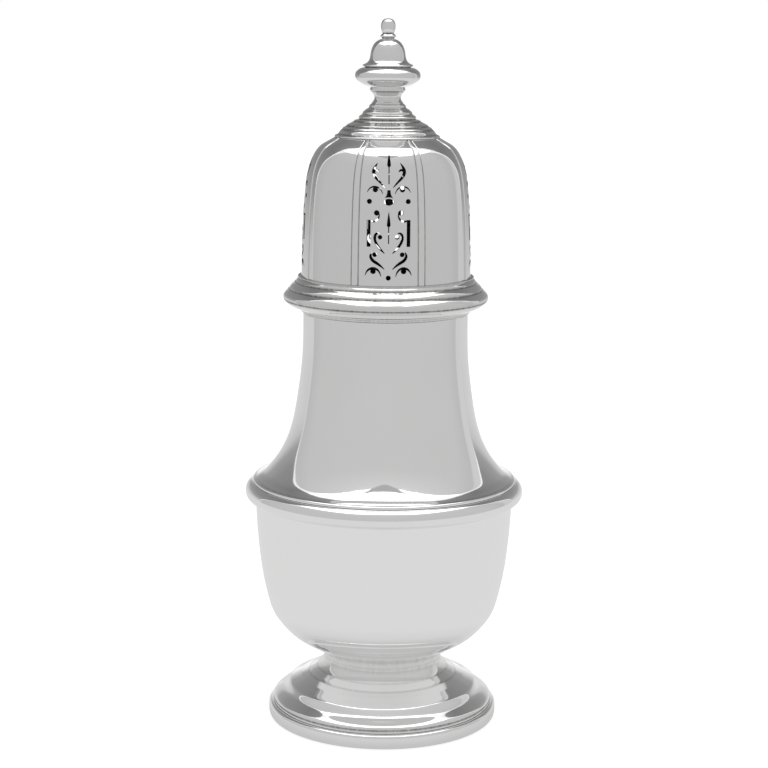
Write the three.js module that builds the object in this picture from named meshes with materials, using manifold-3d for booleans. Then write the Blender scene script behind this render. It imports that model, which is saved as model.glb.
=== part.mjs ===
// A silver sugar caster: a baluster body on a spread foot, closed by a pull-off cover with a domed,
// pierced top and a turned finial. Millimetres, +Z up, origin at the centre of the foot's base.
import * as THREE from "three";
import { mergeVertices } from "three/addons/utils/BufferGeometryUtils.js";
import Module from "manifold-3d";

const wasm = await Module();
wasm.setup();

// Driving dimensions. Heights are measured from the surface that the foot stands on.
const BODY_WALL = 0.7;
const COVER_WALL = 0.7;
const FOOT_RADIUS = 31.4;
const FOOT_RIM_TOP = 4.1;
const FOOT_TOP = 15.2;
const COLLAR_RADIUS = 16.1;
const BOWL_BASE = 17.8;
const BOWL_TOP = 61;
const BOWL_TOP_RADIUS = 35;
const GIRDLE_RADIUS = 37.8;
const GIRDLE_TOP = 66.9;
const NECK_FOOT_RADIUS = 35.6;
const NECK_RADIUS = 22.25;
const NECK_TOP = 112.9;
const COVER_SEAT = 113.1;
const BEZEL_DEPTH = 9.1;
const BEZEL_CLEARANCE = 0.15;
const BEZEL_RADIUS = NECK_RADIUS - BODY_WALL - BEZEL_CLEARANCE;
const FLANGE_RADIUS = 27.6;
const DOME_BASE = 122.4;
const DOME_RADIUS = 22.75;
const CAP_BASE = 159.3;
const CAP_RADIUS = 14;
const FINIAL_BASE = 167.5;
const BUN_BASE = 172.5;
const BUN_RADIUS = 8.66;
const BELL_BASE = 177.6;
const BUTTON_BASE = 184.9;
const OVERALL_HEIGHT = 190.3;

// The dome is divided into panels, alternately pierced and plain, by raised straps.
const PANELS = 8;
const PANEL_ANGLE = (2 * Math.PI) / PANELS;
const STRAP_ANGLE = THREE.MathUtils.degToRad(4.8);
const STRAP_THICKNESS = 0.35;
const STRAP_GAP = 0.08;

const BODY_SEGMENTS = 36;
const COVER_SEGMENTS = 40;
const FINIAL_SEGMENTS = 20;

const SILVER = { color: 0xd3d4d6, metalness: 1, roughness: 0.14 };

// Piercings of one panel. Across is measured from the panel's centre line, and heights as above.
// Each scroll is a saw cut through points of [across, height, half its width], on both sides of the panel.
const SCROLLS = {
  upperLeaf: [[2.86, 153.9, 0.05], [3.95, 151.7, 0.42], [2.7, 149.5, 0.3], [1.06, 147.7, 0.08]],
  upperCurl: [[3.8, 151.9, 0.3], [3.1, 152.1, 0.28], [2.5, 151.7, 0.14]],
  upperArch: [[5.57, 146.5, 0.06], [4.8, 147.6, 0.2], [2.3, 147.4, 0.2], [1.55, 146.1, 0.06]],
  middleTail: [[2.45, 141.2, 0.12], [3.2, 139.4, 0.28], [4.9, 139.3, 0.14]],
  innerHook: [[2.3, 136.1, 0.1], [3.55, 134.9, 0.36], [2.4, 132.3, 0.32], [1, 130.9, 0.08]],
  lowerHook: [[4.2, 131.2, 0.1], [4.4, 129.6, 0.4], [2.6, 128.1, 0.36], [1.02, 126.8, 0.08]],
  lowerArch: [[6, 125.2, 0.06], [5, 126.8, 0.3], [2.9, 126.8, 0.3], [1.87, 124.9, 0.06]],
};
// Each dot is a drilled hole at [across, height, radius], on both sides of the panel.
const DOTS = {
  upperArch: [3.48, 147.2, 0.68],
  side: [4.98, 144.2, 0.65],
  middleTail: [3.1, 141.3, 0.7],
  innerHook: [2.2, 135.1, 0.58],
  lowerHook: [3.54, 130.6, 0.62],
  lowerArch: [3.94, 126.3, 0.72],
};
const BOTTOM_DOT = [0, 124.6, 0.65];
const BAR = { inner: 4.65, outer: 5.6, bottom: 132.6, top: 139.5 };
const UPPER_SPEAR = { tip: 156.4, shoulder: 153.3, foot: 148.6 };
const LOWER_SPEAR = { tip: 141.7, shoulder: 138.1, foot: 133.4 };
const SPEAR_HALF_WIDTH = 0.5;
const SPEAR_STEM_HALF_WIDTH = 0.14;
const BELL_CUT = { top: 147.1, topHalf: 0.42, foot: 145, footHalf: 1.3, sag: 0.5 };
const EYE_CUT = { height: 144.15, half: 1.6, upper: 145.7, lower: 142.2 };
const CUT_NEAR = 10;
const CUT_FAR = 26;
const SCROLL_STEPS = 3;
const DOT_STEPS = 3;

// Outline points from [radius, height] pairs.
function outline(pairs) {
  return pairs.map(([radius, height]) => new THREE.Vector2(radius, height));
}

// Section of a wall of even thickness, from the line of its outer face, which runs upwards.
// An end away from the axis is cut level, to meet the piece that it stands on.
function wallSection(outer, thickness) {
  const last = outer.length - 1;
  const inner = outer.map((point, index) => {
    const before = outer[Math.max(index - 1, 0)];
    const after = outer[Math.min(index + 1, last)];
    const along = after.clone().sub(before).normalize();
    const isLevelEnd = (index === 0 || index === last) && point.x > 0;
    if (isLevelEnd) return new THREE.Vector2(point.x - thickness / Math.max(along.y, 0.7), point.y);
    return new THREE.Vector2(Math.max(point.x - along.y * thickness, 0), point.y + along.x * thickness);
  });
  return [...outer, ...inner.reverse()];
}

function turnedGeometry(section, segments) {
  const closed = section[0].x > 0 ? [...section, section[0].clone()] : section;
  const geometry = new THREE.LatheGeometry(closed, segments);
  geometry.rotateX(Math.PI / 2);
  return geometry;
}

function silverMesh(name, geometry) {
  const mesh = new THREE.Mesh(geometry, new THREE.MeshStandardMaterial(SILVER));
  mesh.name = name;
  return mesh;
}

function turned(name, section, segments) {
  return silverMesh(name, turnedGeometry(section, segments));
}

// Band under the edge of the foot, with a rounded top and bottom corner.
function footRim() {
  const innerRadius = FOOT_RADIUS - 2.4;
  const section = outline([
    [innerRadius, 0],
    [FOOT_RADIUS - 1, 0],
    [FOOT_RADIUS - 0.15, 0.6],
    [FOOT_RADIUS, 2],
    [FOOT_RADIUS - 0.2, 3.7],
    [FOOT_RADIUS - 0.9, FOOT_RIM_TOP],
    [innerRadius, FOOT_RIM_TOP],
  ]);
  return turned("foot_rim", section, BODY_SEGMENTS);
}

// Hollow spread foot: a wire edge, a domed lower part, a fine step, and a sweep up to the stem.
function footDome() {
  const edge = outline([[30.1, FOOT_RIM_TOP], [30.25, 4.7]]);
  const dome = outline([[29.8, 5.4], [28.3, 7], [25.4, 9], [22.8, 10.6]]);
  const sweep = outline([[22.4, 11.1], [20.4, 12.1], [18.1, 13.6], [16.3, FOOT_TOP]]);
  return turned("foot_dome", wallSection([...edge, ...dome, ...sweep], BODY_WALL), BODY_SEGMENTS);
}

// Short tube that joins the foot to the bowl.
function stemCollar() {
  const outer = outline([[COLLAR_RADIUS, FOOT_TOP], [COLLAR_RADIUS - 0.1, 16.4], [COLLAR_RADIUS + 0.3, BOWL_BASE]]);
  return turned("stem_collar", wallSection(outer, BODY_WALL), BODY_SEGMENTS);
}

// Lower half of the body, with a closed base.
function bowl() {
  const base = outline([[0, BOWL_BASE], [COLLAR_RADIUS + 0.3, BOWL_BASE]]);
  const side = outline([
    [18.7, 20],
    [22, 22.1],
    [25.2, 24.1],
    [28.1, 26.8],
    [30.2, 30],
    [31.8, 34.5],
    [33, 40],
    [34.1, 48],
    [34.7, 54.5],
    [BOWL_TOP_RADIUS, BOWL_TOP],
  ]);
  return turned("bowl", wallSection([...base, ...side], BODY_WALL), BODY_SEGMENTS);
}

// Half-round moulding at the widest place, between the bowl and the upper body.
function girdle() {
  const innerRadius = BOWL_TOP_RADIUS - BODY_WALL;
  const section = outline([
    [innerRadius, BOWL_TOP],
    [BOWL_TOP_RADIUS, BOWL_TOP],
    [36.9, 62],
    [GIRDLE_RADIUS, 64],
    [36.9, 66],
    [NECK_FOOT_RADIUS, GIRDLE_TOP],
    [innerRadius, GIRDLE_TOP],
  ]);
  return turned("girdle", section, BODY_SEGMENTS);
}

// Upper half of the body, which flares out from the neck to the girdle.
function neck() {
  const outer = outline([
    [NECK_FOOT_RADIUS, GIRDLE_TOP],
    [33.2, 68.6],
    [31, 70.6],
    [28.3, 74],
    [26.4, 78],
    [24.8, 84],
    [23.6, 91],
    [22.6, 100],
    [NECK_RADIUS, NECK_TOP],
  ]);
  return turned("neck", wallSection(outer, BODY_WALL), BODY_SEGMENTS);
}

// Sleeve of the cover that slides into the neck and holds it by friction.
function coverBezel() {
  const outer = outline([[BEZEL_RADIUS, COVER_SEAT - BEZEL_DEPTH], [BEZEL_RADIUS, COVER_SEAT]]);
  return turned("cover_bezel", wallSection(outer, COVER_WALL), BODY_SEGMENTS);
}

// Stepped sheet moulding round the cover's lower edge, with a shelf inside that the bezel is fixed to.
function coverFlange() {
  const bezelInner = BEZEL_RADIUS - COVER_WALL;
  const domeInner = DOME_RADIUS - COVER_WALL;
  const section = outline([
    [bezelInner, COVER_SEAT],
    [22.9, COVER_SEAT],
    [25.8, 114.2],
    [27.2, 115.3],
    [FLANGE_RADIUS, 116.7],
    [27.2, 118],
    [25.9, 119.3],
    [25.6, 120.1],
    [24.4, 121.1],
    [24.1, 121.8],
    [23.6, DOME_BASE],
    [domeInner, DOME_BASE],
    [domeInner, 121.3],
    [24.4, 119.4],
    [26.1, 117.3],
    [25.6, 115.8],
    [23.4, 114.5],
    [bezelInner, 113.9],
  ]);
  return turned("cover_flange", section, COVER_SEGMENTS);
}

const domeOutline = outline([
  [DOME_RADIUS, DOME_BASE],
  [22.6, 132],
  [22.1, 142],
  [21.2, 150],
  [20.1, 153.6],
  [18.5, 156],
  [16.2, 158],
  [CAP_RADIUS, CAP_BASE],
]);

// Outline of a cut that tapers along a smooth line, on the right (side 1) or left (side -1) of a panel.
function scrollShape(points, side) {
  const line = new THREE.CatmullRomCurve3(points.map((point) => new THREE.Vector3(...point)));
  const count = SCROLL_STEPS;
  const left = [];
  const right = [];
  for (let step = 0; step <= count; step += 1) {
    const place = line.getPoint(step / count);
    const tangent = line.getTangent(step / count);
    const across = new THREE.Vector2(-tangent.y, tangent.x).setLength(place.z);
    left.push(new THREE.Vector2(side * (place.x + across.x), place.y + across.y));
    right.push(new THREE.Vector2(side * (place.x - across.x), place.y - across.y));
  }
  return new THREE.Shape([...left, ...right.reverse()]);
}

function dotShape([across, height, radius], side) {
  const shape = new THREE.Shape();
  shape.absarc(side * across, height, radius, 0, 2 * Math.PI);
  return shape;
}

function barShape(side) {
  const corners = [[BAR.inner, BAR.bottom], [BAR.outer, BAR.bottom], [BAR.outer, BAR.top], [BAR.inner, BAR.top]];
  return new THREE.Shape(corners.map(([across, height]) => new THREE.Vector2(side * across, height)));
}

// A leaf-shaped head on a thin stem.
function spearShape({ tip, shoulder, foot }) {
  const half = [[SPEAR_HALF_WIDTH, shoulder], [SPEAR_STEM_HALF_WIDTH, shoulder - 0.5], [SPEAR_STEM_HALF_WIDTH, foot]];
  const right = half.map(([across, height]) => new THREE.Vector2(across, height));
  const left = half.map(([across, height]) => new THREE.Vector2(-across, height)).reverse();
  return new THREE.Shape([new THREE.Vector2(0, tip), ...right, ...left]);
}

function bellShape() {
  const shape = new THREE.Shape();
  shape.moveTo(-BELL_CUT.topHalf, BELL_CUT.top);
  shape.lineTo(BELL_CUT.topHalf, BELL_CUT.top);
  shape.quadraticCurveTo(BELL_CUT.topHalf, BELL_CUT.foot + BELL_CUT.sag, BELL_CUT.footHalf, BELL_CUT.foot);
  shape.quadraticCurveTo(0, BELL_CUT.foot + BELL_CUT.sag, -BELL_CUT.footHalf, BELL_CUT.foot);
  shape.quadraticCurveTo(-BELL_CUT.topHalf, BELL_CUT.foot + BELL_CUT.sag, -BELL_CUT.topHalf, BELL_CUT.top);
  return shape;
}

function eyeShape() {
  const shape = new THREE.Shape();
  shape.moveTo(-EYE_CUT.half, EYE_CUT.height);
  shape.quadraticCurveTo(0, EYE_CUT.upper, EYE_CUT.half, EYE_CUT.height);
  shape.quadraticCurveTo(0, EYE_CUT.lower, -EYE_CUT.half, EYE_CUT.height);
  return shape;
}

function panelShapes() {
  const centre = [spearShape(UPPER_SPEAR), spearShape(LOWER_SPEAR), bellShape(), eyeShape(), dotShape(BOTTOM_DOT, 1)];
  const sides = [1, -1].flatMap((side) => [
    barShape(side),
    ...Object.values(SCROLLS).map((points) => scrollShape(points, side)),
    ...Object.values(DOTS).map((dot) => dotShape(dot, side)),
  ]);
  return [...centre, ...sides];
}

function solidOf(geometry) {
  const bare = geometry.clone();
  bare.deleteAttribute("normal");
  bare.deleteAttribute("uv");
  const merged = mergeVertices(bare);
  const vertProperties = merged.attributes.position.array;
  const triVerts = new Uint32Array(merged.index.array);
  return new wasm.Manifold(new wasm.Mesh({ numProp: 3, vertProperties, triVerts }));
}

function geometryOf(solid) {
  const { vertProperties, triVerts } = solid.getMesh();
  const geometry = new THREE.BufferGeometry();
  geometry.setAttribute("position", new THREE.BufferAttribute(vertProperties, 3));
  geometry.setIndex(new THREE.BufferAttribute(triVerts, 1));
  geometry.computeVertexNormals();
  return geometry;
}

// All the cuts of one panel, as prisms that run outwards through the wall of the panel facing -Y.
function panelCuts() {
  const prisms = panelShapes().map((shape) => {
    const prism = new THREE.ExtrudeGeometry(shape, {
      depth: CUT_FAR - CUT_NEAR,
      bevelEnabled: false,
      curveSegments: DOT_STEPS,
    });
    prism.translate(0, 0, CUT_NEAR);
    prism.rotateX(Math.PI / 2);
    return solidOf(prism);
  });
  return prisms.reduce((joined, prism) => joined.add(prism));
}

// Domed top of the cover, open below and under the cap, with every second panel pierced.
function coverDome() {
  const blank = solidOf(turnedGeometry(wallSection(domeOutline, COVER_WALL), COVER_SEGMENTS));
  const cuts = panelCuts();
  let pierced = blank;
  for (let panel = 0; panel < PANELS; panel += 2) {
    pierced = pierced.subtract(cuts.rotate([0, 0, THREE.MathUtils.radToDeg(panel * PANEL_ANGLE)]));
  }
  return silverMesh("cover_dome", geometryOf(pierced));
}

// Raised strap between two panels, as a curved bar that follows the dome.
function coverStrap(index) {
  const centre = (index + 0.5) * PANEL_ANGLE;
  const ring = domeOutline.map(({ x: domeRadius, y: height }) => {
    const innerRadius = domeRadius + STRAP_GAP;
    const outerRadius = innerRadius + STRAP_THICKNESS;
    const halfWidth = STRAP_ANGLE / 2;
    return [
      [innerRadius, centre - halfWidth],
      [outerRadius, centre - halfWidth],
      [outerRadius, centre + halfWidth],
      [innerRadius, centre + halfWidth],
    ].map(([radius, angle]) => [radius * Math.sin(angle), -radius * Math.cos(angle), height]);
  });
  const corners = 4;
  const triangles = [[0, 2, 1], [0, 3, 2]];
  for (let level = 0; level + 1 < ring.length; level += 1) {
    for (let corner = 0; corner < corners; corner += 1) {
      const here = level * corners + corner;
      const next = level * corners + ((corner + 1) % corners);
      triangles.push([here, next, next + corners], [here, next + corners, here + corners]);
    }
  }
  const top = (ring.length - 1) * corners;
  triangles.push([top, top + 1, top + 2], [top, top + 2, top + 3]);
  const geometry = new THREE.BufferGeometry();
  geometry.setAttribute("position", new THREE.Float32BufferAttribute(ring.flat(2), 3));
  geometry.setIndex(triangles.flat());
  geometry.computeVertexNormals();
  return silverMesh(`cover_strap_${index + 1}`, geometry);
}

// Low stepped cap over the top of the dome.
function coverCap() {
  const lowerDome = outline([[CAP_RADIUS, CAP_BASE], [12.9, 160.7], [10.6, 162.6], [7.9, 164]]);
  const steps = outline([[7.5, 164.2], [7.5, 164.8], [6.7, 165.6], [6.4, 166.1], [4.84, FINIAL_BASE], [0, FINIAL_BASE]]);
  const underside = outline([[0, FINIAL_BASE - 1.5], [6, 164.2], [10.4, 161.8], [CAP_RADIUS - 1.6, CAP_BASE]]);
  return turned("cover_cap", [...lowerDome, ...steps, ...underside], COVER_SEGMENTS);
}

// Solid of revolution with flat ends, from the [radius, height] pairs of its side.
function solidTurning(name, side) {
  const [, bottom] = side[0];
  const [, top] = side[side.length - 1];
  return turned(name, outline([[0, bottom], ...side, [0, top]]), FINIAL_SEGMENTS);
}

function finialStem() {
  return solidTurning("finial_stem", [
    [4.84, FINIAL_BASE],
    [4.08, 168.5],
    [3.48, 169.8],
    [4.09, 170.9],
    [4.52, 171.8],
    [4.7, BUN_BASE],
  ]);
}

function finialBun() {
  return solidTurning("finial_bun", [
    [5.2, BUN_BASE],
    [7.6, 173.7],
    [BUN_RADIUS, 175.5],
    [8.2, 176.7],
    [6.8, BELL_BASE],
  ]);
}

function finialBell() {
  return solidTurning("finial_bell", [
    [6.71, BELL_BASE],
    [6.4, 178.2],
    [5.1, 179.4],
    [4.64, 181.5],
    [4.1, 183.2],
    [2.8, 184.5],
    [2, BUTTON_BASE],
  ]);
}

function finialButton() {
  return solidTurning("finial_button", [
    [1.8, BUTTON_BASE],
    [2.06, 185.7],
    [1.52, 186.5],
    [2.05, 188.1],
    [1.7, 189.6],
    [0.9, 190.15],
    [0.3, OVERALL_HEIGHT],
  ]);
}

function base() {
  const group = new THREE.Group();
  group.add(footRim(), footDome(), stemCollar(), bowl(), girdle(), neck());
  return group;
}

function cover() {
  const group = new THREE.Group();
  group.add(coverBezel(), coverFlange(), coverDome(), coverCap());
  for (let index = 0; index < PANELS; index += 1) group.add(coverStrap(index));
  group.add(finialStem(), finialBun(), finialBell(), finialButton());
  return group;
}

const caster = new THREE.Group();
caster.add(base(), cover());

export default caster;
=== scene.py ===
"""Silver sugar caster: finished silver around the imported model, in a plain pale studio."""
import math

import bpy
import numpy as np
from mathutils import Matrix, Vector
from mathutils.geometry import delaunay_2d_cdt


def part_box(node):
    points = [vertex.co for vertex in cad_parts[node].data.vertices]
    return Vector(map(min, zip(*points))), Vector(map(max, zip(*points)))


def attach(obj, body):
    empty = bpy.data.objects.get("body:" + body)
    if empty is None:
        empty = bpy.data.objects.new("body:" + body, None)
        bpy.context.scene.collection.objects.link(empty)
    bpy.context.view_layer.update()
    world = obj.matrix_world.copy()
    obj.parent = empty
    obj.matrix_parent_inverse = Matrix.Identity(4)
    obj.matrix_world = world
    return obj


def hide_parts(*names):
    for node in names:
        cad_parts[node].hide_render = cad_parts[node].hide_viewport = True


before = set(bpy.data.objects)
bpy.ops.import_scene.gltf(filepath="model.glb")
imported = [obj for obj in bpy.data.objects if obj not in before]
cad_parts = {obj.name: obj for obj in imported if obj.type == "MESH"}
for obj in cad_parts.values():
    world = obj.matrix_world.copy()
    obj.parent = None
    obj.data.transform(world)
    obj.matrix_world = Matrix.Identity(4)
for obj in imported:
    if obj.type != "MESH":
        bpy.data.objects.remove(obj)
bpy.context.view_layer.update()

MM = 0.001
ON_AXIS = 1e-6
SHARP_ANGLE = 30

# Wall thicknesses in millimetres, and how many faces go round a turned piece.
BODY_WALL = 0.7
COVER_WALL = 0.7
RIM_WALL = 1.4
RIM_CHAMFER = 0.3
BOWL_CORNER = 0.6
BOWL_CORNER_RISE = 0.3
ROUND = 192
FINIAL_ROUND = 96

# Length of the steps along an outline, in millimetres.
FINE_STEP = 0.1
CAST_STEP = 0.12
CREASED_STEP = 0.15
SWEEP_STEP = 0.3
SLEEVE_STEP = 0.4
INSIDE_STEP = 0.5
LIP_POINTS = 5

# A point this near an end of a cut line is left out, and so is one nearer its wall's face than this share.
NEAR_END = 0.02
OFFSET_KEPT = 0.96

# A hollow is darkened, partly as tarnished metal and partly as painted shade. It is fully deep at this turn,
# in radians, and fades over this reach, in millimetres.
HOLLOW_TURN = 0.6
HOLLOW_REACH = 0.35

# Camera, in metres and degrees, with its lens in millimetres. The turn is round the upright axis, away from
# the pierced panel's centre.
CAMERA_DISTANCE = 0.5296
CAMERA_HEIGHT = 0.1904
CAMERA_PITCH = 10.45
CAMERA_ROLL = 0.538
CAMERA_TURN = -1.5
CAMERA_LENS = 93.04
CAMERA_SENSOR = 36
CAMERA_ASIDE = -0.00024

# Outlines, foot to finial. Each point is [radius, height above its node's base], in millimetres.
# A stretch is one smooth line; where two stretches meet there is a crease.
RIM_FACE = [[30.4, 0], [31.05, 0.3], [31.35, 1.0], [31.4, 2.0], [31.36, 3.2]]
RIM_SHOULDER = [[31.36, 3.2], [31.12, 3.62], [30.75, 3.9], [30.2, 4.0]]
FOOT_WIRE = [[30.1, 0], [30.2, 0.3], [30.15, 0.6], [30.0, 0.8]]
FOOT_SHOULDER = [
    [30.0, 0.8], [30.08, 1.1], [29.95, 1.45], [29.6, 1.82], [29.0, 2.25], [28.2, 2.76], [27.55, 3.2],
    [27.1, 3.58], [26.75, 3.97], [25.95, 5.0], [25.6, 5.35], [25.1, 5.65], [23.9, 6.25], [22.4, 7.05],
]
FOOT_RINGS = [
    [[22.4, 7.05], [21.3, 7.55], [20.25, 8.03]],
    [[20.25, 8.03], [19.9, 8.28], [19.0, 8.85], [17.9, 9.6]],
]
FOOT_SWEEP = [[17.9, 9.6], [17.45, 10.05], [16.6, 11.2]]
COLLAR_WAIST = [[16.05, 1.6]]
BOWL_SIDE = [
    [16.7, 0.3], [18.9, 2.15], [22.1, 4.1], [25.3, 6.2], [28.15, 9.1], [30.3, 12.2],
    [31.8, 16.7], [33.0, 22.2], [34.1, 30.2], [34.7, 37.2], [35.0, 43.2],
]
GIRDLE_ROLL = [
    [35.0, 0], [36.6, 0.6], [37.55, 1.5], [37.78, 2.6], [37.72, 3.4], [37.42, 4.15], [36.9, 4.8],
    [36.35, 5.2], [35.9, 5.38], [35.6, 5.45],
]
NECK_EDGE = [[35.72, -0.4], [35.76, -0.1], [35.6, 0.2], [35.3, 0.38], [35.1, 0.4]]
NECK_SIDE = [
    [35.1, 0.4], [34.2, 0.8], [33.1, 1.45], [32.1, 2.4], [31.15, 3.5], [28.55, 7.1], [25.85, 13.1],
    [23.75, 23.1], [22.55, 33.1], [22.25, 46.0],
]
BEZEL_STRETCHES = [[[21.2, 0], [21.4, 0.4]], [[21.4, 0.4], [21.4, 9.1]]]
FLANGE_STRETCHES = [
    [[22.55, -0.15], [22.9, -0.05], [23.0, 0.3], [23.25, 0.55]],
    [[23.25, 0.55], [23.6, 0.8], [25.0, 1.2], [26.3, 1.9], [27.1, 2.6], [27.42, 3.1]],
    [[27.42, 3.1], [27.4, 3.22], [27.55, 3.36]],
    [
        [27.55, 3.36], [27.6, 3.75], [27.58, 4.1], [27.45, 4.5], [27.2, 4.88], [26.8, 5.35], [26.35, 5.7],
        [25.9, 5.95],
    ],
    [[25.9, 5.95], [25.9, 6.25], [25.75, 6.55], [25.5, 6.88], [25.2, 7.2], [24.7, 7.55], [24.2, 7.85]],
    [[24.2, 7.85], [24.2, 8.05], [24.05, 8.4], [23.75, 8.8], [23.6, 9.1], [23.6, 9.3]],
]
FLANGE_INSIDE = [
    [22.05, 9.3], [22.05, 8.2], [24.4, 6.3], [26.1, 4.2], [25.6, 2.7], [23.4, 1.4], [20.7, 0.8], [20.7, 0],
]
DOME_SIDE = [
    [22.75, 0], [22.62, 7.6], [22.25, 17.6], [21.6, 25.1], [20.7, 29.6], [19.15, 33.0], [18.3, 34.15],
    [17.4, 34.95], [16.4, 35.55], [14.0, 36.9],
]
CAP_STRETCHES = [
    [[13.75, 0], [14.0, 0.15], [14.0, 0.4], [13.8, 0.6], [13.2, 0.75]],
    [[13.2, 0.75], [12.95, 1.1], [12.7, 1.5], [12.4, 1.85], [12.1, 2.05]],
    [[12.1, 2.05], [11.95, 2.3], [11.7, 2.55], [11.3, 2.75], [10.9, 2.95]],
    [[10.9, 2.95], [10.75, 3.2], [10.5, 3.38], [9.7, 3.78], [8.9, 4.2]],
    [[8.9, 4.2], [8.75, 4.4], [8.3, 4.6], [7.9, 4.7]],
    [[7.9, 4.7], [7.5, 4.85], [7.6, 5.2], [7.4, 5.6], [6.9, 5.9]],
    [[6.9, 5.9], [6.65, 6.15], [6.5, 6.6], [6.1, 6.95]],
    [[6.1, 6.95], [5.85, 7.2], [5.5, 7.45], [4.95, 7.8], [4.84, 8.2]],
]
CAP_INSIDE = [[12.4, 0], [10.4, 2.5], [6.0, 4.9], [0, 6.7]]
STEM_STRETCHES = [
    [[4.84, 0], [4.75, 0.25], [4.3, 0.6], [4.05, 1.0]],
    [[4.05, 1.0], [3.68, 1.5], [3.48, 2.2], [3.62, 2.8], [4.05, 3.4], [4.4, 3.9]],
    [[4.4, 3.9], [4.6, 4.05], [4.68, 4.4], [4.6, 4.7], [4.5, 5.0]],
]
BUN_SIDE = [
    [4.9, 0], [5.4, 0.08], [6.3, 0.4], [7.45, 1.1], [8.2, 1.75], [8.6, 2.45], [8.66, 3.0], [8.5, 3.7],
    [7.95, 4.35], [7.15, 4.85], [6.2, 5.1],
]
BELL_STRETCHES = [
    [[6.0, 0], [6.05, 0.22]],
    [[6.05, 0.22], [6.55, 0.28], [6.68, 0.45], [6.6, 0.65], [6.35, 0.8]],
    [
        [6.35, 0.8], [5.7, 1.1], [5.15, 1.6], [4.85, 2.2], [4.68, 2.9], [4.54, 3.9], [4.34, 4.7], [3.97, 5.6],
        [3.37, 6.45], [2.7, 6.95], [2.0, 7.3],
    ],
]
BUTTON_STRETCHES = [
    [[1.65, 0], [1.62, 0.25], [1.85, 0.5]],
    [[1.85, 0.5], [2.06, 0.8], [1.85, 1.15], [1.45, 1.5]],
    [[1.45, 1.5], [1.68, 2.05], [1.84, 2.6], [1.91, 3.3], [1.83, 4.1], [1.55, 4.75], [1.0, 5.2], [0, 5.4]],
]

# The cover's dome has eight panels, alternately pierced and plain, with a raised strap between each two.
PANELS = 8
PANEL_ANGLE = 2 * math.pi / PANELS
STRAP_HALF = 0.8
STRAP_RISE = 0.2
STRAP_SINK = 0.1
STRAP_LIFT = 0.02
STRAP_END = 0.05
STRAP_SQUARENESS = 6
STRAP_ROWS = 60
STRAP_COLUMNS = 13
CHASED_LINE = 0.96
CHASED_WIDTH = 0.13
CHASED_DEPTH = 0.2
# Share of the chased lines' depth that darkens them, partly as tarnished metal and partly as painted shade.
CHASED_TARNISH_AND_SHADE = 0.9

# Piercings of one panel, in millimetres across from its centre line and above the dome's base.
# A scroll is a saw cut along [across, height, half its width]; all but the centre cuts come in pairs.
SCROLLS = [
    [
        [2.86, 31.5, 0.05], [3.55, 30.5, 0.3], [3.95, 29.3, 0.42], [3.6, 28.2, 0.4], [2.7, 27.1, 0.3],
        [1.75, 26.1, 0.2], [1.06, 25.3, 0.08],
    ],
    [[3.8, 29.5, 0.3], [3.1, 29.75, 0.3], [2.5, 29.3, 0.12]],
    [[5.57, 24.1, 0.06], [4.9, 25.1, 0.16], [3.55, 25.55, 0.22], [2.2, 24.9, 0.16], [1.55, 23.7, 0.06]],
    [[2.45, 18.8, 0.1], [2.55, 17.8, 0.2], [3.3, 16.9, 0.28], [4.2, 16.7, 0.24], [4.9, 17.0, 0.12]],
    [
        [2.3, 13.7, 0.1], [3.1, 13.6, 0.3], [3.55, 12.5, 0.36], [3.1, 11.0, 0.34], [2.0, 9.5, 0.28],
        [1.0, 8.5, 0.08],
    ],
    [
        [4.2, 8.8, 0.1], [4.6, 8.0, 0.3], [4.2, 6.9, 0.4], [3.0, 6.0, 0.38], [1.9, 5.2, 0.25],
        [1.02, 4.4, 0.08],
    ],
    [[6.0, 2.8, 0.06], [5.2, 4.2, 0.25], [3.94, 4.7, 0.32], [2.6, 4.1, 0.25], [1.87, 2.5, 0.06]],
]
DOTS = [
    [3.48, 24.8, 0.68], [4.98, 21.8, 0.65], [3.1, 18.9, 0.7], [2.2, 12.7, 0.58], [3.54, 8.2, 0.62],
    [3.94, 3.9, 0.72],
]
BOTTOM_DOT = [0, 2.2, 0.65]
BAR = [[4.65, 10.2], [5.6, 10.2], [5.6, 17.1], [4.65, 17.1]]
BAR_ACROSS = 3
BAR_UP = 8
# Heights of each spear's tip, shoulder and foot.
SPEARS = [[34.0, 30.9, 26.2], [19.3, 15.7, 11.0]]
SPEAR_HALF = 0.5
SPEAR_NECK = 0.5
SPEAR_STEM_HALF = 0.14
SPEAR_FULLNESS = 0.7
BELL_CUT = {"top": 24.7, "top_half": 0.42, "foot": 22.6, "foot_half": 1.3, "sag": 0.5}
EYE_CUT = {"height": 21.75, "half": 1.6, "upper": 23.3, "lower": 19.8}
CUT_STEPS = 12
CUT_CLEARANCE = 0.25
SAW_STEP = 0.22
ROW_STEP = 0.8
LAST_ROW = 0.3
PLAIN_COLUMNS = 21
CHASED_COLUMNS = np.array([-2.2, -1.4, -0.7, 0, 0.7, 1.4, 2.2])
EDGE_SHARE = 0.8
WELDS_PER_RADIAN = 1e5
WELDS_PER_MM = 1e4

# Detail of the silver. Scales are in waves a metre, a stretch is along x, y and z, and depths are in metres.
CLOUD_SCALE = 55
LINE_SCALE = 900
LINE_STRETCH = (0.06, 0.06, 5.0)
LINE_DEPTH = 0.0000006
HAIR_SCALE = 1400
HAIR_STRETCH = (1.0, 0.07, 0.25)
HAIR_ROUGHNESS = 0.03
WAVE_SCALE = 42
FILM_SHARE = 0.22
HOLLOW_ROUGHNESS = 0.25

# Studio, in metres. Azimuth is in degrees from the camera's side, positive to its right.
TENT_RADIUS = 0.46
FLOOR_RADIUS = 3.0
FLOOR_SIDES = 96
FRONT_LEFT = -117.5
FRONT_RIGHT = 125
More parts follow.
